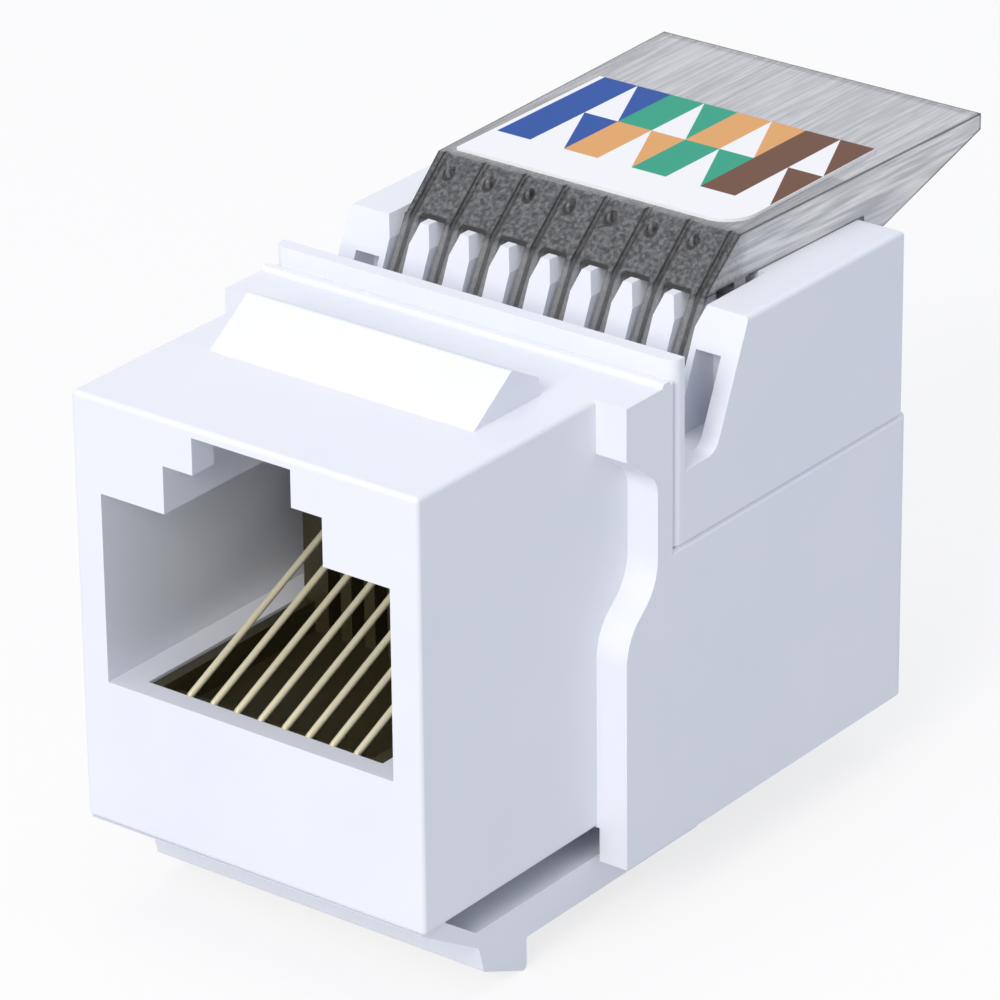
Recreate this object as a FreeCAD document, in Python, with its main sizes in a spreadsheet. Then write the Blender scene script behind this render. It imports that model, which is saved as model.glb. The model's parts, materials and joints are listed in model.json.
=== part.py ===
"""Keystone jack: an eight-way modular jack that clips into a wall plate or a patch panel.

Frame: millimetres, +X to the right seen from the front, +Y from the mouth to the back, +Z up.
The origin is the middle of the port's mouth, on the front face of the nose.
The four bodies of the mechanism are the jack itself, the release latch under it, the wire cap
on top of it and the eight spring contacts, which are carried one by one.
"""
import FreeCAD, Part
import os
import re
import Sketcher

SIZES = [
    # name, millimetres unless the name says otherwise
    ("nose_width", 14.5), ("nose_roof", 0.36), ("nose_length", 9.5), ("edge_round", 0.18),
    ("port_width", 12.16), ("port_height", 6.97), ("sill_height", 5.4), ("sill_thickness", 0.8),
    ("step_width", 6.68), ("step_height", 1.75), ("step_depth", 10.6),
    ("key_width", 4.14), ("key_height", 1.35), ("lip_thickness", 1.1), ("roof_thickness", 0.55),
    ("latch_pocket_depth", 8.4),
    ("body_width", 17.0), ("body_length", 26.27), ("skirt_drop", 1.26), ("seam_height", 9.67),
    ("column_back", 12.2), ("side_wall", 1.3), ("back_wall", 1.4), ("floor_thickness", 0.9),
    ("edge_setback", 1.75), ("curve_low", 7.35), ("curve_high", 8.75), ("curve_radius", 2.0),
    ("tab_height", 1.93), ("tab_curve_height", 1.3), ("tab_curve_radius", 1.0),
    ("back_radius", 0.6), ("seam_chamfer", 0.12), ("seam_round", 0.35),
    ("lug_width", 11.1), ("lug_front", 5.15), ("lug_crest", 7.23), ("lug_back", 8.7),
    ("lug_height", 1.44), ("lug_back_height", 0.66), ("bead_width", 0.45), ("bead_height", 0.15),
    ("bead_inset", 0.25), ("bead_round", 0.13),
    ("well_width", 10.0), ("board_thickness", 1.6), ("board_bed", 5.985), ("board_ledge", 1.5),
    ("latch_inset", 0.15), ("latch_thickness", 1.38), ("latch_gap", 1.2), ("latch_end", 15.6),
    ("latch_root", 1.2), ("latch_bend", 2.95), ("hook_front", 3.1), ("hook_nose", 3.35),
    ("hook_back", 5.7), ("hook_depth", 3.86), ("hook_top", 1.85), ("hook_face", 2.85),
    ("latch_side_gap", 0.25),
    ("block_length", 13.45), ("block_height", 7.03), ("front_wall", 0.55), ("wall_drop", 0.15),
    ("trough_floor", 2.73), ("comb_top_back", 4.2), ("comb_foot_back", 2.34),
    ("trough_radius", 0.7), ("undercut_height", 2.9), ("undercut_back", 4.6), ("cheek", 0.7),
    ("undercut_web", 0.25),
    ("end_block", 2.41), ("slot_width", 0.86), ("slot_flare", 0.26), ("flare_height", 0.75),
    ("slot_depth", 3.5), ("slot_end", 7.6), ("slot_count", 8.0),
    ("blade_place", 5.75), ("blade_thickness", 0.4), ("blade_width", 1.36), ("blade_drop", 1.0),
    ("blade_gap", 0.3), ("blade_mouth", 0.7), ("blade_fork", 2.2), ("tail_width", 0.7),
    ("tail_reach", 0.6), ("fit_gap", 0.05),
    ("contact_pitch", 1.02), ("contact_width", 0.3), ("contact_thickness", 0.26),
    ("contact_root", 1.35), ("contact_root_drop", 0.378), ("contact_reach", 8.95),
    ("contact_rise", 3.893), ("knuckle_radius", 0.22), ("rail_drop", 0.1), ("rail_behind", 0.36),
    ("carrier_deck", 3.3), ("comb_start", 9.0), ("comb_height", 9.0), ("comb_slot", 0.55),
    ("back_plate", 0.8), ("carrier_foot", 4.3), ("slip", 0.1), ("carrier_cheek", 0.45),
    ("cap_margin", 0.285), ("cap_spread", 0.525), ("cap_front", 4.65), ("cap_bevel", 1.95),
    ("cap_height", 1.66), ("cap_back", 20.6), ("cap_lip", 0.61), ("cap_tail", 1.12),
    ("cap_tail_gap", 0.2), ("cap_slit", 0.18), ("cap_slit_depth", 0.5), ("cap_slit_run", 0.15),
    ("finger_width", 0.66), ("finger_depth", 2.3), ("finger_length", 0.75), ("finger_gap", 0.3),
    ("finger_inset", 0.15), ("peep_radius", 0.2), ("peep_place", 1.45), ("peep_aside", 0.52),
    ("peep_depth", 1.0), ("label_inset", 0.425), ("label_front", 7.0), ("label_length", 8.4),
    ("label_thickness", 0.12), ("label_radius", 1.2),
]

doc = FreeCAD.newDocument("keystone_jack")
sheet = doc.addObject("Spreadsheet::Sheet", "Sizes")
for row, (name, value) in enumerate(SIZES, start=1):
    sheet.set(f"A{row}", str(value))
    sheet.setAlias(f"A{row}", name)
doc.recompute()
NAMES = {name for name, value in SIZES}

# Heights and places that several pieces share, each written once
NOSE_LOW = "(-sill_height - port_height / 2)"
NOSE_TOP = "(port_height / 2 + step_height + key_height + nose_roof)"
SEAM = f"({NOSE_LOW} + seam_height)"
FLOOR = f"({NOSE_LOW} + floor_thickness)"
SKIRT_LOW = f"({NOSE_LOW} - skirt_drop)"
BOARD_LOW = f"({NOSE_LOW} + board_bed)"
BOARD_TOP = f"({BOARD_LOW} + board_thickness)"
BLOCK_TOP = f"({SEAM} + block_height)"
BLOCK_BACK = "(column_back + block_length)"
CAVITY_HALF = "(body_width / 2 - side_wall)"
CAVITY_BACK = "(body_length - back_wall)"
BLADE_Y = "(column_back + blade_place)"
CAP_FRONT = "(column_back + cap_front)"
CAP_TOP = f"({BLOCK_TOP} + cap_height)"
CAP_BACK = "(column_back + cap_back)"
ROOT_Z = "(-port_height / 2 - contact_root_drop)"
FIRST_SLOT = "(body_width / 2 - end_block)"
PITCH = f"(2 * {FIRST_SLOT} / (slot_count - 1))"
LATCH_HALF = "(nose_width / 2 - latch_inset)"


def bind(text):
    """Turn a formula in the sizes' own names into one that the document can follow."""
    return re.sub(r"[a-z_]\w*", lambda word: "Sizes." + word.group() if word.group() in NAMES
                  else word.group(), text)


def make_body(name):
    body = doc.addObject("PartDesign::Body", name)
    body.Label = name
    return body


def origin_part(body, role):
    return next(part for part in body.Origin.OriginFeatures if part.Role == role)


def outline(body, name, role, corners, offset="0"):
    """A closed outline of straight runs on an origin plane, each corner bound to the sizes."""
    sketch = body.newObject("Sketcher::SketchObject", name)
    sketch.AttachmentSupport = (origin_part(body, role), [""])
    sketch.MapMode = "FlatFace"
    sketch.setExpression("AttachmentOffset.Base.z", bind(offset))
    count = len(corners)
    turn = 360.0 / count
    start = [FreeCAD.Vector(1, 0, 0) for corner in corners]
    for index, point in enumerate(start):
        start[index] = FreeCAD.Rotation(FreeCAD.Vector(0, 0, 1), turn * index).multVec(point)
    for index in range(count):
        sketch.addGeometry(Part.LineSegment(start[index], start[(index + 1) % count]))
    for index in range(count):
        sketch.addConstraint(Sketcher.Constraint("Coincident", index, 2, (index + 1) % count, 1))
    for index, (across, along) in enumerate(corners):
        for kind, value, formula in (("DistanceX", start[index].x, across),
                                     ("DistanceY", start[index].y, along)):
            place = sketch.addConstraint(Sketcher.Constraint(kind, -1, 1, index, 1, value))
            sketch.setExpression(f"Constraints[{place}]", bind(formula))
    doc.recompute()
    return sketch


def rectangle(body, name, role, left, right, low, high, offset="0"):
    corners = [(left, low), (right, low), (right, high), (left, high)]
    return outline(body, name, role, corners, offset)


def disc(body, name, role, centre, radius, offset="0"):
    sketch = body.newObject("Sketcher::SketchObject", name)
    sketch.AttachmentSupport = (origin_part(body, role), [""])
    sketch.MapMode = "FlatFace"
    sketch.setExpression("AttachmentOffset.Base.z", bind(offset))
    sketch.addGeometry(Part.Circle(FreeCAD.Vector(1, 1, 0), FreeCAD.Vector(0, 0, 1), 1))
    for kind, formula in (("DistanceX", centre[0]), ("DistanceY", centre[1])):
        place = sketch.addConstraint(Sketcher.Constraint(kind, -1, 1, 0, 3, 1))
        sketch.setExpression(f"Constraints[{place}]", bind(formula))
    place = sketch.addConstraint(Sketcher.Constraint("Radius", 0, 1))
    sketch.setExpression(f"Constraints[{place}]", bind(radius))
    doc.recompute()
    return sketch


def grow(kind, body, name, sketch, length, middle=False, reverse=False):
    """Pad or pocket a sketch, and make sure that it added or took away material."""
    before = body.Shape.Volume if body.Tip else 0.0
    feature = body.newObject("PartDesign::" + kind, name)
    feature.Profile = sketch
    feature.SideType = "Symmetric" if middle else "One side"
    feature.Reversed = reverse
    feature.setExpression("Length", bind(length))
    doc.recompute()
    change = body.Shape.Volume - before
    if (change <= 0) == (kind == "Pad") or "Invalid" in feature.State:
        raise ValueError(f"{name} on {body.Label} changes nothing: {change:.4f}")
    return feature


def pad(body, name, sketch, length, middle=False, reverse=False):
    return grow("Pad", body, name, sketch, length, middle, reverse)


def pocket(body, name, sketch, length, middle=False, reverse=False):
    return grow("Pocket", body, name, sketch, length, middle, reverse)


def repeat(body, name, feature, role, spacing, count):
    pattern = body.newObject("PartDesign::LinearPattern", name)
    pattern.Originals = [feature]
    pattern.Direction = (origin_part(body, role), [""])
    pattern.Mode = "Spacing"
    pattern.setExpression("Offset", bind(spacing))
    pattern.setExpression("Occurrences", bind(count))
    body.Tip = pattern
    doc.recompute()
    return pattern


def straight_edges(body, axis, test):
    """Names of the body's straight edges along an axis whose middle passes a test."""
    found = []
    for index, edge in enumerate(body.Shape.Edges, start=1):
        if edge.Degenerated or edge.Curve.TypeId != "Part::GeomLine":
            continue
        along = edge.Vertexes[-1].Point - edge.Vertexes[0].Point
        if abs(abs(getattr(along, axis)) - edge.Length) < 1e-6 and test(edge.CenterOfMass):
            found.append(f"Edge{index}")
    return found


def corner_edges(body, sketch, corners, axis):
    """The edges that an outline's corners, counted from 0 in its list, leave on the solid."""
    place = sketch.getGlobalPlacement()
    spots = [place.multVec(sketch.Geometry[corner].StartPoint) for corner in corners]
    across = [name for name in "xyz" if name != axis]
    return straight_edges(body, axis, lambda middle: any(all(
        abs(getattr(middle, name) - getattr(spot, name)) < 1e-4 for name in across)
        for spot in spots))


def soften(kind, body, name, edges, size):
    """Fillet or chamfer a body's edges."""
    base = body.Tip
    feature = body.newObject("PartDesign::" + kind, name)
    feature.Base = (base, edges)
    feature.setExpression("Radius" if kind == "Fillet" else "Size", bind(size))
    doc.recompute()
    if not edges or "Invalid" in feature.State:
        raise ValueError(f"{name} on {body.Label} failed on {edges}")
    return feature


def make_housing():
    """The moulding with the port: nose, side flanges, open-topped rear box and fixed lug."""
    body = make_body("housing")
    half_nose = "nose_width / 2"
    nose = rectangle(body, "nose_outline", "XZ_Plane",
                     f"-{half_nose}", half_nose, NOSE_LOW, NOSE_TOP)
    pad(body, "nose", nose, "column_back", reverse=True)
    rims = straight_edges(body, "y", lambda middle: True)
    for axis in "xz":
        rims += straight_edges(body, axis, lambda middle: middle.y < 1e-6)
    soften("Fillet", body, "nose_edges", rims, "edge_round")

    flange = outline(body, "flange_outline", "YZ_Plane", [
        ("nose_length", SKIRT_LOW),
        ("body_length", SKIRT_LOW),
        ("body_length", SEAM),
        ("column_back", SEAM),
        ("column_back", NOSE_TOP),
        ("nose_length", NOSE_TOP),
        ("nose_length", f"{NOSE_TOP} - tab_height"),
        ("nose_length + edge_setback", f"{NOSE_TOP} - tab_height - tab_curve_height"),
        ("nose_length + edge_setback", f"{NOSE_LOW} + curve_high"),
        ("nose_length", f"{NOSE_LOW} + curve_low"),
    ])
    pad(body, "flanges", flange, "body_width", middle=True)
    sweep_ends, tab_foot = (8, 9), (7,)
    sweep = corner_edges(body, flange, sweep_ends, "x")
    soften("Fillet", body, "flange_sweep", sweep, "curve_radius")
    tab = corner_edges(body, flange, tab_foot, "x")
    soften("Fillet", body, "tab_sweep", tab, "tab_curve_radius")
    far = body.Shape.BoundBox.YMax
    corners = straight_edges(body, "z", lambda middle: middle.y > far - 1e-6)
    soften("Fillet", body, "back_corners", corners, "back_radius")
    side = body.Shape.BoundBox.XMax
    seam_height = flange.Geometry[2].StartPoint.y
    seam = straight_edges(body, "y", lambda middle: abs(middle.z - seam_height) < 1e-4)
    column_back = flange.Geometry[3].StartPoint.x
    seam += straight_edges(body, "z", lambda middle: abs(middle.y - column_back) < 1e-4
                           and abs(abs(middle.x) - side) < 1e-4)
    soften("Chamfer", body, "seam_edges", seam, "seam_chamfer")

    bead = rectangle(body, "bead_outline", "YZ_Plane", "column_back - bead_inset - bead_width",
                     "column_back - bead_inset", NOSE_TOP, f"{NOSE_TOP} + bead_height")
    pad(body, "bead", bead, "body_width", middle=True)
    top_corners = (2, 3)
    crest = corner_edges(body, bead, top_corners, "x")
    soften("Fillet", body, "bead_crest", crest, "bead_round")
    lug = outline(body, "lug_outline", "YZ_Plane", [
        ("lug_front", NOSE_TOP),
        ("lug_back", NOSE_TOP),
        ("lug_back", f"{NOSE_TOP} + lug_back_height"),
        ("lug_crest", f"{NOSE_TOP} + lug_height"),
    ])
    pad(body, "fixed_lug", lug, "lug_width", middle=True)
    crest = corner_edges(body, lug, top_corners, "x")
    soften("Fillet", body, "lug_crest", crest, "edge_round")

    port = rectangle(body, "port_outline", "XZ_Plane", "-port_width / 2", "port_width / 2",
                     "-port_height / 2", "port_height / 2")
    pocket(body, "port", port, "column_back")
    step = rectangle(body, "step_outline", "XZ_Plane", "-step_width / 2", "step_width / 2",
                     "0", "port_height / 2 + step_height")
    pocket(body, "latch_step", step, "step_depth")
    key = rectangle(body, "key_outline", "XZ_Plane", "-key_width / 2", "key_width / 2",
                    "0", "port_height / 2 + step_height + key_height")
    pocket(body, "latch_key", key, "lip_thickness + roof_thickness")
    catch = rectangle(body, "catch_outline", "XZ_Plane", "-step_width / 2", "step_width / 2",
                      "0", f"{NOSE_TOP} - roof_thickness", "-lip_thickness")
    pocket(body, "latch_pocket", catch, "latch_pocket_depth")

    well = rectangle(body, "well_outline", "XZ_Plane", "-well_width / 2", "well_width / 2",
                     FLOOR, "0", "-sill_thickness")
    pocket(body, "contact_well", well, "column_back - sill_thickness")
    upper = rectangle(body, "upper_box_outline", "XY_Plane", f"-{CAVITY_HALF}", CAVITY_HALF,
                      "column_back", CAVITY_BACK, SEAM)
    pocket(body, "upper_box", upper, "seam_height - board_bed")
    lower = rectangle(body, "lower_box_outline", "XY_Plane", f"-{CAVITY_HALF}", CAVITY_HALF,
                      "column_back", f"{CAVITY_BACK} - board_ledge", BOARD_LOW)
    pocket(body, "lower_box", lower, "board_bed - floor_thickness")
    channel_half = f"({LATCH_HALF} + latch_side_gap)"
    channel = rectangle(body, "channel_outline", "XZ_Plane", f"-{channel_half}", channel_half,
                        SKIRT_LOW, NOSE_LOW, "-nose_length")
    pocket(body, "latch_channel", channel, "body_length - nose_length")
    return body


def make_latch():
    """The sprung arm under the nose: thin link, ramped hook and finger end, as one bar."""
    body = make_body("release_latch")
    arm_top = f"({NOSE_LOW} - latch_gap)"
    arm_low = f"({arm_top} - latch_thickness)"
    bar = outline(body, "latch_outline", "YZ_Plane", [
        ("0", NOSE_LOW),
        ("hook_front", f"{NOSE_LOW} - hook_top"),
        ("hook_nose", f"{NOSE_LOW} - hook_face"),
        ("hook_back", f"{NOSE_LOW} - hook_depth"),
        ("hook_back", arm_low),
        ("latch_end", arm_low),
        ("latch_end", arm_top),
        ("latch_bend", arm_top),
        ("latch_root", NOSE_LOW),
    ])
    pad(body, "latch_bar", bar, f"2 * {LATCH_HALF}", middle=True)
    hook_nose, arm_end = (2, 3), (5, 6)
    edges = corner_edges(body, bar, hook_nose + arm_end, "x")
    soften("Fillet", body, "latch_edges", edges, "edge_round")
    return body


def make_block():
    """The upper moulding that holds the eight wire slots and closes the rear box."""
    body = make_body("terminal_block")
    wall_top = f"({BLOCK_TOP} - wall_drop)"
    trough_low = f"({SEAM} + trough_floor)"
    side = outline(body, "side_outline", "YZ_Plane", [
        ("column_back", SEAM),
        (BLOCK_BACK, SEAM),
        (BLOCK_BACK, BLOCK_TOP),
        ("column_back + comb_top_back", BLOCK_TOP),
        ("column_back + comb_foot_back", trough_low),
        ("column_back + front_wall", trough_low),
        ("column_back + front_wall", wall_top),
        ("column_back", wall_top),
    ])
    pad(body, "block", side, "body_width", middle=True)
    comb_foot, top_back = (4,), (2,)
    sweep = corner_edges(body, side, comb_foot, "x")
    soften("Fillet", body, "trough_sweep", sweep, "trough_radius")
    box = body.Shape.BoundBox
    front = straight_edges(body, "z", lambda middle: abs(middle.y - box.YMin) < 1e-4)
    soften("Fillet", body, "seam_corners", front, "seam_round")
    seam = straight_edges(body, "y", lambda middle: abs(middle.z - box.ZMin) < 1e-4)
    soften("Chamfer", body, "seam_edges", seam, "seam_chamfer")
    top = straight_edges(body, "y", lambda middle: abs(middle.z - box.ZMax) < 1e-4)
    top += corner_edges(body, side, top_back, "x")
    soften("Fillet", body, "top_edges", top, "edge_round")

    undercut_top = f"({trough_low} + undercut_height)"
    last_wall = f"({FIRST_SLOT} + slot_width / 2 + undercut_web)"
    for name, place in (("right", "body_width / 2 - cheek"), ("left", f"-{last_wall}")):
        under = rectangle(body, f"{name}_undercut_outline", "YZ_Plane", "column_back + front_wall",
                          "column_back + undercut_back", trough_low, undercut_top, place)
        pocket(body, f"{name}_undercut", under, f"body_width / 2 - cheek - {last_wall}")

    tongue = rectangle(body, "tongue_outline", "XY_Plane",
                       f"-{CAVITY_HALF} + slip", f"{CAVITY_HALF} - slip",
                       "column_back + slip", f"{CAVITY_BACK} - slip", SEAM)
    pad(body, "tongue", tongue, f"{SEAM} - {BOARD_TOP}", reverse=True)

    low = f"({BLOCK_TOP} - slot_depth)"
    waist = f"({BLOCK_TOP} - flare_height)"
    half = "slot_width / 2"
    wide = f"({half} + slot_flare)"
    slot = outline(body, "slot_outline", "XZ_Plane", [
        (f"-{FIRST_SLOT} - {half}", low),
        (f"-{FIRST_SLOT} + {half}", low),
        (f"-{FIRST_SLOT} + {half}", waist),
        (f"-{FIRST_SLOT} + {wide}", BLOCK_TOP),
        (f"-{FIRST_SLOT} - {wide}", BLOCK_TOP),
        (f"-{FIRST_SLOT} - {half}", waist),
    ], "-column_back - comb_foot_back")
    cut = pocket(body, "wire_slot", slot, "slot_end - comb_foot_back")
    repeat(body, "wire_slots", cut, "X_Axis", PITCH, "slot_count")

    thick = "(blade_thickness / 2 + fit_gap)"
    room = rectangle(body, "blade_room_outline", "XY_Plane",
                     f"-{FIRST_SLOT} - blade_width / 2 - fit_gap",
                     f"-{FIRST_SLOT} + blade_width / 2 + fit_gap",
                     f"{BLADE_Y} - {thick}", f"{BLADE_Y} + {thick}",
                     f"{BLOCK_TOP} - blade_drop + fit_gap")
    cut = pocket(body, "blade_room", room, f"{BLOCK_TOP} - blade_drop + fit_gap - {BOARD_TOP}")
    repeat(body, "blade_rooms", cut, "X_Axis", PITCH, "slot_count")
    return body


def make_board():
    """The small circuit board that joins the contacts to the blades."""
    body = make_body("circuit_board")
    plate = rectangle(body, "board_outline", "XY_Plane",
                      f"-{CAVITY_HALF} + slip", f"{CAVITY_HALF} - slip",
                      "column_back + slip", f"{CAVITY_BACK} - slip", BOARD_LOW)
    pad(body, "board", plate, "board_thickness")
    half = "(tail_width / 2 + fit_gap)"
    thick = "(blade_thickness / 2 + fit_gap)"
    hole = rectangle(body, "tail_hole_outline", "XY_Plane",
                     f"-{FIRST_SLOT} - {half}", f"-{FIRST_SLOT} + {half}",
                     f"{BLADE_Y} - {thick}", f"{BLADE_Y} + {thick}", BOARD_TOP)
    cut = pocket(body, "tail_hole", hole, "board_thickness")
    repeat(body, "tail_holes", cut, "X_Axis", PITCH, "slot_count")
    return body


def make_blade(number):
    """A forked blade that bites through a wire's jacket, with a tail through the board."""
    body = make_body(f"wire_blade_{number}")
    middle = f"({number - 1} * {PITCH} - {FIRST_SLOT})"
    top = f"({BLOCK_TOP} - blade_drop)"
    half = "blade_width / 2"
    tail_low = f"({BOARD_LOW} - tail_reach)"
    fork = outline(body, "blade_outline", "XZ_Plane", [
        (f"{middle} - {half}", BOARD_TOP),
        (f"{middle} - tail_width / 2", BOARD_TOP),
        (f"{middle} - tail_width / 2", tail_low),
        (f"{middle} + tail_width / 2", tail_low),
        (f"{middle} + tail_width / 2", BOARD_TOP),
        (f"{middle} + {half}", BOARD_TOP),
        (f"{middle} + {half}", top),
        (f"{middle} + blade_mouth / 2", top),
        (f"{middle} + blade_gap / 2", f"{top} - blade_mouth / 2"),
        (f"{middle} + blade_gap / 2", f"{top} - blade_fork"),
        (f"{middle} - blade_gap / 2", f"{top} - blade_fork"),
        (f"{middle} - blade_gap / 2", f"{top} - blade_mouth / 2"),
        (f"{middle} - blade_mouth / 2", top),
        (f"{middle} - {half}", top),
    ], f"-{BLADE_Y}")
    pad(body, "blade", fork, "blade_thickness", middle=True)
    return body


def make_carrier():
    """The black insert in the port's floor that holds the contacts, with its comb."""
    body = make_body("contact_carrier")
    deck_top = f"({FLOOR} + carrier_deck)"
    comb_top = f"({FLOOR} + comb_height)"
    plate_top = "(port_height / 2 - slip)"
    half = "(well_width / 2 - slip)"
    side = outline(body, "carrier_outline", "YZ_Plane", [
        ("sill_thickness + slip", FLOOR),
        ("column_back + carrier_foot", FLOOR),
        ("column_back + carrier_foot", BOARD_LOW),
        ("column_back - slip", BOARD_LOW),
        ("column_back - slip", comb_top),
        ("comb_start", comb_top),
        ("comb_start", deck_top),
        ("contact_root + rail_behind", deck_top),
        ("contact_root + rail_behind", f"{ROOT_Z} - rail_drop"),
        ("sill_thickness + slip", f"{ROOT_Z} - rail_drop"),
    ])
    pad(body, "carrier", side, f"2 * {half}", middle=True)
    for name, place in (("right", half), ("left", f"-{half} + carrier_cheek")):
        cheek = rectangle(body, f"{name}_cheek_outline", "YZ_Plane", "sill_thickness + slip",
                          "comb_start", deck_top, "-port_height / 2 - fit_gap", place)
        pad(body, f"{name}_cheek", cheek, "carrier_cheek", reverse=True)
    plate = rectangle(body, "plate_outline", "XZ_Plane",
                      "-port_width / 2 + slip", "port_width / 2 - slip",
                      "-port_height / 2", plate_top, "-column_back + slip")
    pad(body, "back_plate", plate, "back_plate")
    first = "((slot_count - 1) / 2 * contact_pitch)"
    gate = rectangle(body, "gate_outline", "XZ_Plane",
                     f"-{first} - comb_slot / 2", f"-{first} + comb_slot / 2",
                     deck_top, comb_top, "-comb_start")
    cut = pocket(body, "comb_gate", gate, "column_back - slip - back_plate - comb_start")
    repeat(body, "comb_gates", cut, "X_Axis", "contact_pitch", "slot_count")
    groove = disc(body, "groove_outline", "YZ_Plane", ("contact_root", ROOT_Z),
                  "knuckle_radius + fit_gap")
    pocket(body, "knuckle_groove", groove, f"2 * ({half} - carrier_cheek)", middle=True)
    return body


def make_contact(number):
    """A spring finger: round knuckle at the front sill, straight run up towards the back."""
    body = make_body(f"contact_{number}")
    middle = f"({number - 1} - (slot_count - 1) / 2) * contact_pitch"
    half = "contact_thickness / 2"
    tip = ("contact_root + contact_reach", f"{ROOT_Z} + contact_rise")
    finger = outline(body, "finger_outline", "YZ_Plane", [
        ("contact_root", f"{ROOT_Z} - {half}"),
        (tip[0], f"{tip[1]} - {half}"),
        (tip[0], f"{tip[1]} + {half}"),
        ("contact_root", f"{ROOT_Z} + {half}"),
    ], f"{middle} - contact_width / 2")
    pad(body, "finger", finger, "contact_width")
    knuckle = disc(body, "knuckle_outline", "YZ_Plane", ("contact_root", ROOT_Z),
                   "knuckle_radius", f"{middle} - contact_width / 2")
    pad(body, "knuckle", knuckle, "contact_width")
    return body


def make_cap():
    """The clear cap that presses the wires home and shields their cut ends."""
    body = make_body("wire_cap")
    tail_front = f"({BLOCK_BACK} + cap_tail_gap)"
    front_half = f"({FIRST_SLOT} + cap_margin)"
    back_half = f"({front_half} + cap_spread)"
    plan = outline(body, "cap_plan", "XY_Plane", [
        (f"-{front_half}", CAP_FRONT),
        (front_half, CAP_FRONT),
        (back_half, CAP_BACK),
        (f"-{back_half}", CAP_BACK),
    ], f"{BLOCK_TOP} - cap_tail")
    pad(body, "cap", plan, "cap_height + cap_tail")
    under = rectangle(body, "cap_seat", "YZ_Plane", f"{CAP_FRONT} - 1", tail_front,
                      f"{BLOCK_TOP} - cap_tail - 1", BLOCK_TOP)
    pocket(body, "seat_cut", under, f"3 * {back_half}", middle=True)
    bevel = outline(body, "bevel_outline", "YZ_Plane", [
        (CAP_FRONT, BLOCK_TOP),
        (f"{CAP_FRONT} + cap_bevel", CAP_TOP),
        (CAP_FRONT, CAP_TOP),
    ])
    pocket(body, "bevel", bevel, f"3 * {back_half}", middle=True)
    tail = outline(body, "tail_outline", "YZ_Plane", [
        (tail_front, f"{BLOCK_TOP} - cap_tail"),
        (CAP_BACK, f"{BLOCK_TOP} - cap_tail"),
        (CAP_BACK, f"{CAP_TOP} - cap_lip"),
    ])
    pocket(body, "tail_slope", tail, f"3 * {back_half}", middle=True)

    half = "finger_width / 2"
    near = f"({BLADE_Y} - blade_thickness / 2 - finger_gap)"
    tip = f"({BLOCK_TOP} - finger_depth)"
    comb_lean = "(comb_top_back - comb_foot_back) / (block_height - trough_floor)"
    tip_front = f"(column_back + comb_top_back - finger_depth * {comb_lean} + finger_inset)"
    press = outline(body, "front_finger_outline", "YZ_Plane", [
        (CAP_FRONT, BLOCK_TOP),
        (near, BLOCK_TOP),
        (near, tip),
        (tip_front, tip),
    ], f"-{FIRST_SLOT} - {half}")
    front = pad(body, "front_finger", press, "finger_width")
    repeat(body, "front_fingers", front, "X_Axis", PITCH, "slot_count")
    far = f"({BLADE_Y} + blade_thickness / 2 + finger_gap)"
    press = rectangle(body, "back_finger_plan", "XY_Plane",
                      f"-{FIRST_SLOT} - {half}", f"-{FIRST_SLOT} + {half}",
                      far, f"{far} + finger_length", BLOCK_TOP)
    back = pad(body, "back_finger", press, "finger_depth", reverse=True)
    repeat(body, "back_fingers", back, "X_Axis", PITCH, "slot_count")

    slit = outline(body, "slit_outline", "YZ_Plane", [
        (f"{tip_front} - cap_slit_depth", tip),
        (f"{tip_front} + cap_slit_depth", tip),
        (f"{CAP_FRONT} + cap_slit_depth", BLOCK_TOP),
        (f"{CAP_FRONT} + cap_bevel + cap_slit_run", CAP_TOP),
        (f"{CAP_FRONT} + cap_bevel - cap_slit_depth", CAP_TOP),
        (f"{CAP_FRONT} - cap_slit_depth", BLOCK_TOP),
    ], f"-{FIRST_SLOT} + cap_slit / 2")
    cut = pocket(body, "slit", slit, "cap_slit")
    repeat(body, "slits", cut, "X_Axis", PITCH, "slot_count")
    peep = disc(body, "peep_outline", "XY_Plane",
                (f"-{FIRST_SLOT} + peep_aside", f"{CAP_FRONT} + peep_place"), "peep_radius", CAP_TOP)
    cut = pocket(body, "peep_hole", peep, "peep_depth")
    repeat(body, "peep_holes", cut, "X_Axis", PITCH, "slot_count - 1")
    return body


def make_label():
    """The colour-code label on the cap."""
    body = make_body("wiring_label")
    half = f"({FIRST_SLOT} + cap_margin - label_inset)"
    plan = rectangle(body, "label_plan", "XY_Plane", f"-{half}", half, "column_back + label_front",
                     "column_back + label_front + label_length", CAP_TOP)
    pad(body, "label", plan, "label_thickness")
    front_right = (1,)
    corner = corner_edges(body, plan, front_right, "z")
    soften("Fillet", body, "clipped_corner", corner, "label_radius")
    return body


pieces = [make_housing(), make_latch(), make_block(), make_board(), make_carrier(),
          make_cap(), make_label()]
for number in range(1, int(sheet.slot_count) + 1):
    pieces.append(make_blade(number))
    pieces.append(make_contact(number))
doc.recompute()

for item in doc.Objects:
    if "Invalid" in item.State or "Error" in item.State:
        raise ValueError(f"{item.Label} failed: {item.State}")
os.makedirs("parts", exist_ok=True)
for piece in pieces:
    shape = piece.Shape
    if shape.isNull() or not shape.isValid() or not shape.Solids:
        raise ValueError(f"{piece.Label} has no valid solid")
    shape.exportStep(f"parts/{piece.Label}.step")
    box = shape.BoundBox
    print(f"{piece.Label}: {len(shape.Solids)} solid, {shape.Volume:.2f} mm3, "
          f"X {box.XMin:.2f}..{box.XMax:.2f} Y {box.YMin:.2f}..{box.YMax:.2f} "
          f"Z {box.ZMin:.2f}..{box.ZMax:.2f}")
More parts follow.
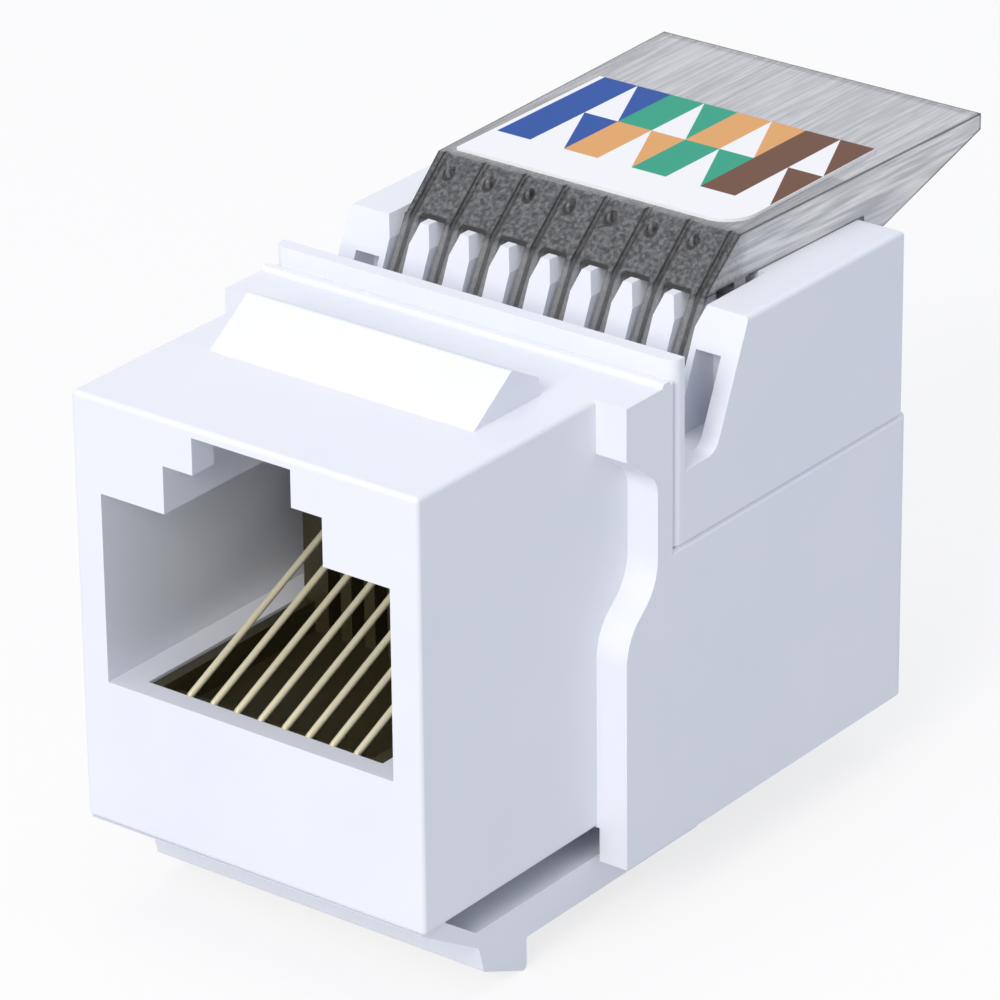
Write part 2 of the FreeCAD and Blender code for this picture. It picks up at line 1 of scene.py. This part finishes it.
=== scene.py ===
# %% [markdown]
# # A keystone jack, dressed for a picture
# A keystone jack is the small socket behind a network wall plate. Its solids come from a CAD
# model, and this script gives them their finishes, adds what a renderer shows better than a
# solid, and sets up a floor, lights and a camera. Everything is in metres: one millimetre is
# a thousandth, so `MM` is used wherever a size is easier to read in millimetres.

# %% Load the frame
import bpy
import json
import math
from mathutils import Matrix, Vector


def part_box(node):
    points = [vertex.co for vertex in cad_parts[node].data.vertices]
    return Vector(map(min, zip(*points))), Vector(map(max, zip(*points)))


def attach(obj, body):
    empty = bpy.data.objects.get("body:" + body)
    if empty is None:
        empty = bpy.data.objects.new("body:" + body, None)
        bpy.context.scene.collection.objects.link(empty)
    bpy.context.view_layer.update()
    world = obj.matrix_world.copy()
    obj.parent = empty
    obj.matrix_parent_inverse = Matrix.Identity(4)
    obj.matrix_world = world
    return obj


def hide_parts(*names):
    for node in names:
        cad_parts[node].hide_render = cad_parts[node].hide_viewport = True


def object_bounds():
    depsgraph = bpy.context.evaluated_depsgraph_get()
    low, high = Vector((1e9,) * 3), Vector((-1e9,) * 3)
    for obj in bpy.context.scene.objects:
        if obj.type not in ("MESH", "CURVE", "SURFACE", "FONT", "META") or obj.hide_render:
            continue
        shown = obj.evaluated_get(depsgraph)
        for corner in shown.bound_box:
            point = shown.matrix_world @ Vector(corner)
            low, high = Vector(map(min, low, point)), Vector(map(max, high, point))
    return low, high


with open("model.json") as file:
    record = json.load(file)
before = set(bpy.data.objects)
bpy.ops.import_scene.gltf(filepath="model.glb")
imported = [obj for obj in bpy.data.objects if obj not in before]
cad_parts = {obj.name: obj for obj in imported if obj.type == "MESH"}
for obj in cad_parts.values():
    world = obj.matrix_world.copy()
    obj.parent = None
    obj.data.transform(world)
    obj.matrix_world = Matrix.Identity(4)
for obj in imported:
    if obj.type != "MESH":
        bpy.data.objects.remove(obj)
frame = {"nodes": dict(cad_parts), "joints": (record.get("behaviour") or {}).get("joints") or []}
cad_box = [list(corner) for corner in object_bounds()]
nodes = frame["nodes"]
MM = 0.001
WIRES = 8  # a network cable has four pairs, and so eight wires
print("solids:", len(nodes), "box in mm:", [[round(v / MM, 2) for v in c] for c in cad_box])

# %% [markdown]
# ## Helpers
# Designers write colours as sRGB hex values, but shaders work with linear light, so one
# function turns one into the other. A second function adds a shader node together with its
# settings and links, which keeps each material readable as a short list of what it is made of.

# %% Colour and node helpers


def colour(code):
    """Linear RGBA from an sRGB hex value."""
    channels = [int(code[i:i + 2], 16) / 255 for i in (1, 3, 5)]
    return [c / 12.92 if c <= 0.04045 else ((c + 0.055) / 1.055) ** 2.4 for c in channels] + [1.0]


def add(tree, kind, inputs=None, **settings):
    """Adds a shader node; an input, by name or number, takes a value or an output socket."""
    made = tree.nodes.new("ShaderNode" + kind)
    for name, value in settings.items():
        setattr(made, name, value)
    for name, value in (inputs or {}).items():
        if isinstance(value, bpy.types.NodeSocket):
            tree.links.new(value, made.inputs[name])
        else:
            made.inputs[name].default_value = value
    return made


def new_material(name):
    """An empty material: its tree, its shader and its output."""
    material = bpy.data.materials.new(name)
    material.use_nodes = True
    tree = material.node_tree
    tree.nodes.clear()
    output = tree.nodes.new("ShaderNodeOutputMaterial")
    shader = tree.nodes.new("ShaderNodeBsdfPrincipled")
    tree.links.new(shader.outputs["BSDF"], output.inputs["Surface"])
    return material, tree, shader


def paint(name, material):
    """Gives a CAD node its finish."""
    slots = nodes[name].data.materials
    slots.clear()
    slots.append(material)
    print(name, "->", material.name)


# %% [markdown]
# ## Moulded white ABS
# The housing, the latch and the terminal block are injection-moulded ABS in a cool white. The
# mould's surface is fine spark-eroded steel, so the plastic has a satin sheen with a grain
# too small to see singly: it only breaks up the highlights. The colour drifts a little where
# the resin flowed, which a large, faint noise gives.

# %% White ABS
WHITE_ABS, FLOW_TINT = "#EDEFF4", "#E4E8F1"
FLOW_SIZE, FLOW_DETAIL = 6 * MM, 2.0
GRAIN_SIZE, GRAIN_DETAIL = 0.12 * MM, 1.0  # the real grain is about 0.03 mm, too fine to show
GRAIN_STRENGTH, GRAIN_HEIGHT = 0.12, 0.01 * MM
SATIN_LOW, SATIN_HIGH = 0.34, 0.46
ABS_IOR = 1.53

abs_white, tree, shader = new_material("white_abs")
where = add(tree, "TexCoord")
flow = add(tree, "TexNoise", {"Vector": where.outputs["Object"], "Scale": 1 / FLOW_SIZE,
                              "Detail": FLOW_DETAIL})
tint = add(tree, "Mix", {"Factor": flow.outputs["Fac"], "A": colour(WHITE_ABS),
                         "B": colour(FLOW_TINT)}, data_type="RGBA")
grain = add(tree, "TexNoise", {"Vector": where.outputs["Object"], "Scale": 1 / GRAIN_SIZE,
                               "Detail": GRAIN_DETAIL})
sheen = add(tree, "MapRange", {"Value": grain.outputs["Fac"], "To Min": SATIN_LOW,
                               "To Max": SATIN_HIGH})
bump = add(tree, "Bump", {"Height": grain.outputs["Fac"], "Strength": GRAIN_STRENGTH,
                          "Distance": GRAIN_HEIGHT})
tree.links.new(tint.outputs["Result"], shader.inputs["Base Color"])
tree.links.new(sheen.outputs["Result"], shader.inputs["Roughness"])
tree.links.new(bump.outputs["Normal"], shader.inputs["Normal"])
shader.inputs["IOR"].default_value = ABS_IOR
for name in ("housing", "release_latch", "terminal_block"):
    paint(name, abs_white)

# %% [markdown]
# ## Smoky polycarbonate
# The wire cap is clear polycarbonate with a grey dye. Part of the light crosses it, so a
# Principled shader with some transmission is its base. Pure glass would look empty, because
# the light that gets lost and scattered inside thick plastic is hard to trace, so the pale
# and dark places that this light gives are laid over each other as colours. The first layer
# is the flow of the resin: fine lines along the cap, from a noise that is stretched that way.

# %% Flow lines of the cap
SMOKE_PALE, SMOKE_STREAK = "#DFE1E5", "#B2B5BA"
STREAK_SIZE, STREAK_DETAIL = 0.16 * MM, 2.0
STREAK_STRETCH = 0.04
NOISE_LOW, NOISE_HIGH = 0.35, 0.65  # nearly all of a noise lies between these two

smoky, tree, shader = new_material("smoky_polycarbonate")
where = add(tree, "TexCoord")
place = add(tree, "SeparateXYZ", {"Vector": where.outputs["Object"]})
along = add(tree, "Mapping", {"Vector": where.outputs["Object"],
                              "Scale": (1.0, STREAK_STRETCH, 1.0)})
flow = add(tree, "TexNoise", {"Vector": along.outputs["Vector"], "Scale": 1 / STREAK_SIZE,
                              "Detail": STREAK_DETAIL})
lines = add(tree, "MapRange", {"Value": flow.outputs["Fac"], "From Min": NOISE_LOW,
                               "From Max": NOISE_HIGH})
rear = add(tree, "Mix", {"Factor": lines.outputs["Result"], "A": colour(SMOKE_PALE),
                         "B": colour(SMOKE_STREAK)}, data_type="RGBA")
print("flow lines", round(STREAK_SIZE / MM, 2), "mm wide")

# %% [markdown]
# The bevel in front is painted darker, as painted shade for the shaded channels of the wires
# that show behind it, where slits break the plastic up. It is also mottled at random. Its noise
# isn't stretched, and the place along the cap decides which of the two patterns is seen.

# %% Mottled bevel with painted shade
# Painted shade: both bevel colours are darker than the rear, for the shaded channels behind it.
FRONT_PALE, FRONT_DARK = "#94969A", "#46484C"
MOTTLE_SIZE, MOTTLE_DETAIL = 0.16 * MM, 2.0
FRONT_ENDS, REAR_STARTS = 18.7 * MM, 19.3 * MM

mottle = add(tree, "TexNoise", {"Vector": where.outputs["Object"], "Scale": 1 / MOTTLE_SIZE,
                                "Detail": MOTTLE_DETAIL})
spots = add(tree, "MapRange", {"Value": mottle.outputs["Fac"], "From Min": NOISE_LOW,
                               "From Max": NOISE_HIGH})
front = add(tree, "Mix", {"Factor": spots.outputs["Result"], "A": colour(FRONT_PALE),
                          "B": colour(FRONT_DARK)}, data_type="RGBA")
depth = add(tree, "MapRange", {"Value": place.outputs["Y"], "From Min": FRONT_ENDS,
                               "From Max": REAR_STARTS})
# The bevel's painted shade is blended in by the place along the cap.
smoke_and_bevel_shade = add(tree, "Mix", {"Factor": depth.outputs["Result"], "A": front.outputs["Result"],
                          "B": rear.outputs["Result"]}, data_type="RGBA")
print("bevel ends", round(FRONT_ENDS / MM, 1), "mm behind the port's mouth")

# %% [markdown]
# The sides are painted palest, as painted light: light that enters from above leaves through
# them, and this painted light grows towards the back. The X part of the normal, without its sign,
# is near one on a side and near nothing on the top, so it tells the two apart.

# %% Painted light on the sides
# Painted light: the pale side colours stand for light that leaves through the sides.
SIDE_LIT_PALE, SIDE_LIT_STREAK = "#FFFDF8", "#C6C7C8"
SIDE_LIGHT_FRONT, SIDE_LIGHT_REAR = 0.3, 0.85
CAP_FRONT, SIDE_LIGHT_FULL = 16.9 * MM, 22.0 * MM
TOP_ENDS, SIDE_STARTS = 0.5, 0.9

facing = add(tree, "SeparateXYZ", {"Vector": where.outputs["Normal"]})
sideways = add(tree, "Math", {0: facing.outputs["X"]}, operation="ABSOLUTE")
lit_flank = add(tree, "Mix", {"Factor": lines.outputs["Result"], "A": colour(SIDE_LIT_PALE),
                          "B": colour(SIDE_LIT_STREAK)}, data_type="RGBA")
side_light_by_depth = add(tree, "MapRange", {"Value": place.outputs["Y"], "From Min": CAP_FRONT,
                                  "From Max": SIDE_LIGHT_FULL, "To Min": SIDE_LIGHT_FRONT,
                                  "To Max": SIDE_LIGHT_REAR})
# Painted light on the sides, set by the normal's X part and capped by the place along the cap.
painted_side_light = add(tree, "MapRange", {"Value": sideways.outputs["Value"], "From Min": TOP_ENDS,
                              "From Max": SIDE_STARTS, "To Max": side_light_by_depth.outputs["Result"]})
lit = add(tree, "Mix", {"Factor": painted_side_light.outputs["Result"], "A": smoke_and_bevel_shade.outputs["Result"],
                        "B": lit_flank.outputs["Result"]}, data_type="RGBA")
print("sides:", SIDE_LIGHT_FRONT, "of the pale tint in front,", SIDE_LIGHT_REAR, "at the back")

# %% [markdown]
# Edges are painted dark, as painted shade, for light that is trapped in them. Ambient occlusion
# that looks inwards finds them: from a point near an edge, the next wall is close. The fingers
# hang in front of the white block, whose light comes through them, so painted light is laid over
# them and their edges.

# %% Painted shade on edges, painted light on the fingers
# Painted shade: a near-black colour laid along every edge.
EDGE_SHADE = "#1A1C1E"
EDGE_REACH = 0.15 * MM
EDGE_ENDS, FLAT_STARTS = 0.55, 0.85
# Painted light: a pale colour laid over the fingers, for the white block's light through them.
FINGER_LIT, FINGER_LIGHT_SHARE = "#D3D5D6", 0.5
FINGER_TOP, FINGER_FADE = 7.8 * MM, 0.3 * MM

inward = add(tree, "AmbientOcclusion", {"Distance": EDGE_REACH}, inside=True, only_local=True)
flat = add(tree, "MapRange", {"Value": inward.outputs["AO"], "From Min": EDGE_ENDS,
                              "From Max": FLAT_STARTS})
# Painted shade on the edges.
shaded_edges = add(tree, "Mix", {"Factor": flat.outputs["Result"], "A": colour(EDGE_SHADE),
                          "B": lit.outputs["Result"]}, data_type="RGBA")
# Painted light on the fingers, below their top.
finger_light = add(tree, "MapRange", {"Value": place.outputs["Z"],
                                 "From Min": FINGER_TOP - FINGER_FADE, "From Max": FINGER_TOP,
                                 "To Min": FINGER_LIGHT_SHARE, "To Max": 0.0})
smoke_with_painted_light = add(tree, "Mix", {"Factor": finger_light.outputs["Result"], "A": shaded_edges.outputs["Result"],
                           "B": colour(FINGER_LIT)}, data_type="RGBA")
tree.links.new(smoke_with_painted_light.outputs["Result"], shader.inputs["Base Color"])
print("edges", round(EDGE_REACH / MM, 2), "mm wide")

# %% [markdown]
# The top lets more light through than the sides, and the flow lines also break up the gloss
# and ripple the surface a little, as they do on plastic that cooled while it flowed.

# %% Clearness and gloss
TOP_CLARITY, SIDE_CLARITY = 0.55, 0.15
GLOSS_LOW, GLOSS_HIGH = 0.12, 0.3
RIPPLE_STRENGTH, RIPPLE_HEIGHT = 0.3, 0.02 * MM
POLYCARBONATE_IOR = 1.58

clarity = add(tree, "MapRange", {"Value": sideways.outputs["Value"], "From Min": TOP_ENDS,
                                 "From Max": SIDE_STARTS, "To Min": TOP_CLARITY,
                                 "To Max": SIDE_CLARITY})
gloss = add(tree, "MapRange", {"Value": flow.outputs["Fac"], "To Min": GLOSS_LOW,
                               "To Max": GLOSS_HIGH})
ripple = add(tree, "Bump", {"Height": flow.outputs["Fac"], "Strength": RIPPLE_STRENGTH,
                            "Distance": RIPPLE_HEIGHT})
tree.links.new(clarity.outputs["Result"], shader.inputs["Transmission Weight"])
tree.links.new(gloss.outputs["Result"], shader.inputs["Roughness"])
tree.links.new(ripple.outputs["Normal"], shader.inputs["Normal"])
shader.inputs["IOR"].default_value = POLYCARBONATE_IOR
paint("wire_cap", smoky)

# %% [markdown]
# ## Black insert, gold wires, tinned blades and the board
# The insert is black glass-filled nylon, dull and faintly speckled. The contacts are phosphor
# bronze wire with a thin plating of pale gold; their colour is painted near white and only partly
# metal, as a painted highlight for the bright reflections along them. The blades are stamped
# bronze with a tin plate, grey and soft. The board is glass-fibre laminate under a green lacquer.
# All four are flecked, at their own scales, so one function makes them from a list of their
# colours and sizes.

# %% Inside finishes
FINISHES = {
    # name: base, fleck, size of a fleck, roughness, metal
    # The flecks of the nylon and the platings are drawn about three times as large as real ones.
    "black_glass_filled_nylon": ("#211E12", "#4A4424", 0.12 * MM, 0.5, 0.0),
    # The wire's near-white colours and low metal are a painted highlight, for its bright
    # reflections.
    "gold_wire_painted_highlight": ("#FFF8DA", "#FBF0C6", 0.4 * MM, 0.35, 0.3),
    "tin_plated_bronze": ("#C9CBCC", "#AEB0B2", 0.25 * MM, 0.38, 1.0),
    "lacquered_fibre_board": ("#1F5B36", "#2A6F45", 0.5 * MM, 0.3, 0.0),
}
FLECK_DETAIL = 3.0
FLECK_STRENGTH, FLECK_HEIGHT = 0.2, 0.01 * MM
SHEEN_SPREAD = 0.08


def flecked(name, base, fleck, size, rough, metal):
    """A finish whose colour and sheen vary over flecks of a given size."""
    material, tree, shader = new_material(name)
    where = add(tree, "TexCoord")
    flecks = add(tree, "TexNoise", {"Vector": where.outputs["Object"], "Scale": 1 / size,
                                    "Detail": FLECK_DETAIL})
    mixed = add(tree, "Mix", {"Factor": flecks.outputs["Fac"], "A": colour(base),
                              "B": colour(fleck)}, data_type="RGBA")
    sheen = add(tree, "MapRange", {"Value": flecks.outputs["Fac"],
                                   "To Min": rough - SHEEN_SPREAD,
                                   "To Max": rough + SHEEN_SPREAD})
    bump = add(tree, "Bump", {"Height": flecks.outputs["Fac"], "Strength": FLECK_STRENGTH,
                              "Distance": FLECK_HEIGHT})
    tree.links.new(mixed.outputs["Result"], shader.inputs["Base Color"])
    tree.links.new(sheen.outputs["Result"], shader.inputs["Roughness"])
    tree.links.new(bump.outputs["Normal"], shader.inputs["Normal"])
    shader.inputs["Metallic"].default_value = metal
    return material


finishes = {name: flecked(name, *look) for name, look in FINISHES.items()}
paint("contact_carrier", finishes["black_glass_filled_nylon"])
paint("circuit_board", finishes["lacquered_fibre_board"])
for number in range(1, WIRES + 1):
    paint(f"wire_blade_{number}", finishes["tin_plated_bronze"])

# %% [markdown]
# ## Spring contacts
# Each contact is one length of thin round wire. At the front it is bent over a rail of the
# insert, and from there it runs straight up towards the back, where a plug presses it down.
# It is made here as a wire bender makes it: a small disc is spun round the rail for the bend,
# then drawn out straight, and its end is rounded. One wire is made and the others are copies.

# %% Sizes of a contact, from its hinge and its solid
WIRE_RADIUS = 0.125 * MM
BEND_RADIUS = 0.135 * MM
hinges = {joint["child"]: Vector(joint["pos_m"]) for joint in frame["joints"]
          if joint["type"] == "hinge"}
rail = hinges["spring_contact_1"]
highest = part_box("contact_1")[1]
run = Vector((0.0, highest[1], highest[2])) - Vector((0.0, rail.y, rail.z))
rise = math.atan2(run.z, run.y)
print("contact rises at", round(math.degrees(rise), 1), "degrees")

# %% Bend one wire
WIRE_SIDES, BEND_STEPS = 16, 10
TIP_ROUND, TIP_STEPS = 0.5 * WIRE_RADIUS, 3
SMOOTH_BELOW = math.radians(40)

bpy.ops.object.select_all(action="DESELECT")
start = Vector((0.0, rail.y, rail.z - BEND_RADIUS))
bpy.ops.mesh.primitive_circle_add(vertices=WIRE_SIDES, radius=WIRE_RADIUS, fill_type="NGON",
                                  location=start, rotation=(math.radians(90), 0, 0))
wire = bpy.context.object
bpy.ops.object.transform_apply(location=True, rotation=True)
bpy.ops.object.mode_set(mode="EDIT")
bpy.ops.mesh.select_all(action="SELECT")
bpy.ops.mesh.spin(steps=BEND_STEPS, angle=math.pi - rise, center=(0.0, rail.y, rail.z),
                  axis=(1, 0, 0))
straight = run - run.normalized() * 2 * WIRE_RADIUS
bpy.ops.mesh.extrude_region_move(TRANSFORM_OT_translate={"value": straight})
bpy.ops.mesh.bevel(offset=TIP_ROUND, segments=TIP_STEPS, affect="EDGES")
bpy.ops.mesh.select_all(action="SELECT")
bpy.ops.mesh.normals_make_consistent(inside=False)
bpy.ops.object.mode_set(mode="OBJECT")
bpy.ops.object.shade_smooth_by_angle(angle=SMOOTH_BELOW)
print("one wire:", len(wire.data.polygons), "faces")

# %% Copy it to each place
for number in range(1, WIRES + 1):
    spring = wire if number == WIRES else wire.copy()
    if spring is not wire:
        spring.data = wire.data.copy()
        bpy.context.scene.collection.objects.link(spring)
    spring.name = f"contact_wire_{number}"
    body = f"spring_contact_{number}"
    spring.data.transform(Matrix.Translation((hinges[body].x, 0.0, 0.0)))
    # The wire's finish carries a painted highlight.
    spring.data.materials.append(finishes["gold_wire_painted_highlight"])
    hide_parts(f"contact_{number}")
    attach(spring, body)
print("contacts placed:", WIRES)

# %% [markdown]
# ## The colour-code label
# The label is printed vinyl with a matt film over it, so it mirrors little. A white strip runs
# along its front, and behind it are two rows of fields in the colours of a network cable's
# wires. Each colour has one solid field, and one that is cut in two by a diagonal, for the
# wire that is striped with white. A Mapping node turns the place on the label into columns
# and rows, and a colour ramp with hard steps holds each row's inks.

# %% Inks in two rows
COLUMN, ROW = 1.46 * MM, 3.18 * MM
LEFT, FRONT = -5.75 * MM, 21.25 * MM
BLUE, ORANGE, GREEN, BROWN = "#22509F", "#E0A668", "#2FA083", "#6B4938"
FRONT_ORDER = (BLUE, ORANGE, GREEN, BROWN)
REAR_ORDER = (BLUE, GREEN, ORANGE, BROWN)

printed, tree, shader = new_material("printed_vinyl_label")
where = add(tree, "TexCoord")
cells = add(tree, "Mapping", {"Vector": where.outputs["Object"],
                              "Location": (-LEFT / COLUMN, -FRONT / ROW, 0.0),
                              "Scale": (1 / COLUMN, 1 / ROW, 1.0)})
cell = add(tree, "SeparateXYZ", {"Vector": cells.outputs["Vector"]})
column, row = cell.outputs["X"], cell.outputs["Y"]
share = add(tree, "Math", {0: column, 1: WIRES}, operation="DIVIDE")
ramps = []
for order in (FRONT_ORDER, REAR_ORDER):
    ramp = add(tree, "ValToRGB", {"Fac": share.outputs["Value"]})
    ramp.color_ramp.interpolation = "CONSTANT"
    ramp.color_ramp.elements[0].color = colour(order[0])
    for index, ink in enumerate(order[1:], start=1):
        ramp.color_ramp.elements.new(index / len(order)).color = colour(ink)
    ramps.append(ramp.outputs["Color"])
in_rear = add(tree, "Math", {0: row, 1: 1.0}, operation="GREATER_THAN")
inks = add(tree, "Mix", {"Factor": in_rear.outputs["Value"], "A": ramps[0], "B": ramps[1]},
           data_type="RGBA")
print("inks:", len(ramps), "rows of", len(FRONT_ORDER))

# %% [markdown]
# The striped half of each pair loses a triangle of ink. Its diagonal is where the fractions
# of the column and the row add up to one, and the paper shows below it. The paper also shows
# in front of the first row and to the left of the first column.

# %% Bare paper
PAPER = "#F4F5F6"
COLUMNS_IN_PAIR = 2.0
FILM_ROUGHNESS, FILM_MIRROR = 0.5, 0.15

across = add(tree, "Math", {0: column}, operation="FRACT")
back_up = add(tree, "Math", {0: row}, operation="FRACT")
slant = add(tree, "Math", {0: across.outputs["Value"], 1: back_up.outputs["Value"]},
            operation="ADD")
below = add(tree, "Math", {0: slant.outputs["Value"], 1: 1.0}, operation="LESS_THAN")
pair = add(tree, "Math", {0: column, 1: COLUMNS_IN_PAIR}, operation="FLOORED_MODULO")
second = add(tree, "Math", {0: pair.outputs["Value"], 1: 1.0}, operation="GREATER_THAN")
striped = add(tree, "Math", {0: below.outputs["Value"], 1: second.outputs["Value"]},
              operation="MULTIPLY")
nearest = add(tree, "Math", {0: column, 1: row}, operation="MINIMUM")
margin = add(tree, "Math", {0: nearest.outputs["Value"], 1: 0.0}, operation="LESS_THAN")
bare = add(tree, "Math", {0: striped.outputs["Value"], 1: margin.outputs["Value"]},
           operation="MAXIMUM")
face = add(tree, "Mix", {"Factor": bare.outputs["Value"], "A": inks.outputs["Result"],
                         "B": colour(PAPER)}, data_type="RGBA")
tree.links.new(face.outputs["Result"], shader.inputs["Base Color"])
shader.inputs["Roughness"].default_value = FILM_ROUGHNESS
shader.inputs["Specular IOR Level"].default_value = FILM_MIRROR
paint("wiring_label", printed)

# %% [markdown]
# ## Floor, backdrop and lights
# The jack stands on a plain pale floor. What the eye sees of it is mostly its own white, so it
# stays bright without extra light on the jack, and the rest is the lit floor, which keeps the
# shadow. The light that it throws back up is that of a grey card, so undersides stay dark. A
# Light Path node tells the two apart, on the floor and in the world, and counts what is seen
# in a mirror or through glass as seen.

# %% Floor
FLOOR_SPAN = 2.0
FLOOR_CARD, FLOOR_SEEN = "#D2D4D8", "#F4F4F4"
FLOOR_ROUGHNESS, FLOOR_GLOW = 0.9, 0.76
WHITE = "#FFFFFF"


def shown(tree):
    """A socket that is one for what is seen, and nothing for what only gets light."""
    ray = add(tree, "LightPath")
    clear = add(tree, "Math", {0: ray.outputs["Is Glossy Ray"],
                               1: ray.outputs["Is Transmission Ray"]}, operation="MAXIMUM")
    views = add(tree, "Math", {0: ray.outputs["Is Camera Ray"], 1: clear.outputs["Value"]},
                operation="MAXIMUM")
    return views.outputs["Value"]


bpy.ops.object.select_all(action="DESELECT")
bpy.ops.mesh.primitive_plane_add(size=FLOOR_SPAN, location=(0, 0, cad_box[0][2]))
floor = bpy.context.object
floor.name = "floor"
bpy.ops.object.transform_apply(location=True)
white_floor, tree, shader = new_material("white_floor")
seen = shown(tree)
card = add(tree, "Mix", {"Factor": seen, "A": colour(FLOOR_CARD), "B": colour(FLOOR_SEEN)},
           data_type="RGBA")
share = add(tree, "Math", {0: seen, 1: FLOOR_GLOW}, operation="MULTIPLY")
glow = add(tree, "Emission", {"Color": colour(WHITE), "Strength": 1.0})
both = add(tree, "MixShader", {"Fac": share.outputs["Value"], 1: shader.outputs["BSDF"],
                               2: glow.outputs["Emission"]})
tree.links.new(card.outputs["Result"], shader.inputs["Base Color"])
tree.links.new(both.outputs["Shader"], tree.nodes["Material Output"].inputs["Surface"])
shader.inputs["Roughness"].default_value = FLOOR_ROUGHNESS
floor.data.materials.append(white_floor)
print("floor at", round(cad_box[0][2] / MM, 2), "mm")

# %% [markdown]
# The world gives a soft, cool light from all round, as a pale room does, and one large lamp in
# front and one above shape the faces.

# %% World
ROOM_TINT, ROOM_STRENGTH = "#D3DAEA", 0.74

world = bpy.data.worlds.new("soft_room")
bpy.context.scene.world = world
world.use_nodes = True
tree = world.node_tree
tree.nodes.clear()
seen = shown(tree)
room = add(tree, "Background", {"Color": colour(ROOM_TINT), "Strength": ROOM_STRENGTH})
white = add(tree, "Background", {"Color": colour(WHITE), "Strength": 1.0})
both = add(tree, "MixShader", {"Fac": seen, 1: room.outputs["Background"],
                               2: white.outputs["Background"]})
add(tree, "OutputWorld", {"Surface": both.outputs["Shader"]})
print("world", world.name, ROOM_STRENGTH)

# %% Lamps
LAMPS = {
    # name: place in metres, size in metres, watts
    "key_front": ((0.10, -0.50, 0.30), 0.25, 2.1),
    "top": ((-0.05, 0.02, 0.60), 0.45, 1.0),
}
LAMP_TINT = "#FFF8F0"
LAMP_AIM = Vector((0.0, 0.014, -0.002))

for name, (place, size, power) in LAMPS.items():
    lamp = bpy.data.lights.new(name, "AREA")
    lamp.size = size
    lamp.energy = power
    lamp.color = colour(LAMP_TINT)[:3]
    holder = bpy.data.objects.new(name, lamp)
    bpy.context.scene.collection.objects.link(holder)
    holder.location = place
    holder.rotation_euler = (LAMP_AIM - Vector(place)).to_track_quat("-Z", "Y").to_euler()
    print("lamp", name, power, "W")

# %% [markdown]
# ## Camera
# The camera stands at the right front, a little above, and looks through a long lens, which
# keeps the jack's edges nearly parallel. Its three axes are worked out from two angles and a
# small roll, and it stands a fifth of a metre away from the middle of the jack.

# %% Camera
AZIMUTH = math.radians(37.598)
ELEVATION = math.radians(25.131)
ROLL = math.radians(-0.622)
DISTANCE = 213.93 * MM
AIM = Vector((0.0, 12.0, -0.885)) * MM
ASIDE, BELOW = 1.04 * MM, 1.152 * MM
LENS = 225.28
NEAREST = 0.01

back = Vector((math.sin(AZIMUTH) * math.cos(ELEVATION), -math.cos(AZIMUTH) * math.cos(ELEVATION),
               math.sin(ELEVATION)))
level = Vector((math.cos(AZIMUTH), math.sin(AZIMUTH), 0.0))
upright = back.cross(level)
right = level * math.cos(ROLL) + upright * math.sin(ROLL)
up = upright * math.cos(ROLL) - level * math.sin(ROLL)
camera = bpy.data.objects.new("camera", bpy.data.cameras.new("camera"))
bpy.context.scene.collection.objects.link(camera)
camera.data.lens = LENS
camera.data.clip_start = NEAREST
axes = Matrix((right, up, back)).transposed().to_4x4()
stand = AIM + back * DISTANCE + right * ASIDE + up * BELOW
camera.matrix_world = Matrix.Translation(stand) @ axes
bpy.context.scene.camera = camera
bpy.context.scene.view_settings.view_transform = "Standard"
print("camera at", [round(v / MM, 1) for v in stand], "mm")
